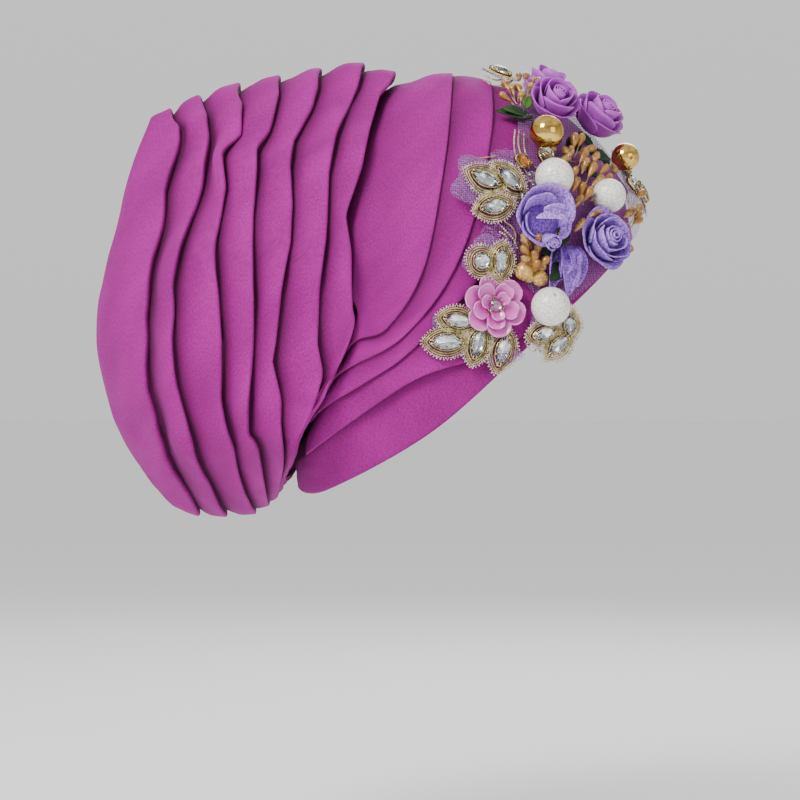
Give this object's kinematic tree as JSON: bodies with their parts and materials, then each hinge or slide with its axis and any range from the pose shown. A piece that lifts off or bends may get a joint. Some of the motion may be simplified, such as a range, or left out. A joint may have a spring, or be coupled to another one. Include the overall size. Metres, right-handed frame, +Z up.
{
  "type": "turban cap",
  "caption": "Ready-made turban cap with a pleated slouched back, tucked crown, plain head band and a flower, pearl and cut stone trim.",
  "frame": {"origin": "on the inside of the crown, on the middle line, where the top of the wearer's head bears", "axes": "+X forward, the way the face looks; +Z up; the trim is on the wearer's right side, -Y"},
  "size_m": [0.2993, 0.1944, 0.2464],
  "materials": {
    "cloth": "matt crepe, deep magenta",
    "net": "fine net, lilac grey",
    "lace": "gold and ivory cord lace",
    "satin": "satin ribbon, orchid",
    "chiffon": "grainy chiffon, lavender",
    "sequin": "pearly pink sequins",
    "pearl": "pearl bead, frosted sparkle",
    "gold_bead": "polished, plated bead",
    "crystal": "clear foiled cut stone",
    "amber": "amber cut stone",
    "pip": "gold lacquered stamen pips",
    "leaf": "dark green leaf"
  },
  "bodies": {
    "root": {"chiffon_bud": "chiffon", "chiffon_rose_front": "chiffon", "chiffon_rose_rear": "chiffon", "gold_bead_front": "gold_bead", "gold_bead_rear": "gold_bead", "head_band": "cloth", "lace_front": "lace", "lace_lower": "lace", "lace_middle": "lace", "lace_rear": "lace", "lace_rim": "lace", "lace_top": "lace", "leaf_brow": "leaf", "leaf_top": "leaf", "net_ground": "net", "pearl_front": "pearl", "pearl_lower": "pearl", "pearl_upper": "pearl", "pips_brow": "pip", "pips_front": "pip", "pips_lower": "pip", "pips_rim": "pip", "pips_top": "pip", "satin_rose_front": "satin", "satin_rose_rear": "satin", "satin_rose_top": "satin", "sequin_centre": "crystal", "sequin_flower": "sequin", "slouch_back": "cloth", "stone_amber": "amber", "stone_front_1": "crystal", "stone_front_2": "crystal", "stone_lower_1": "crystal", "stone_lower_2": "crystal", "stone_lower_3": "crystal", "stone_lower_4": "crystal", "stone_middle": "crystal", "stone_rear_1": "crystal", "stone_rear_2": "crystal", "stone_rear_3": "crystal", "stone_rim_1": "crystal", "stone_rim_2": "crystal", "stone_rim_3": "crystal", "stone_round": "crystal", "stone_top": "crystal", "tucked_crown": "cloth"}
  },
  "joints": []
}
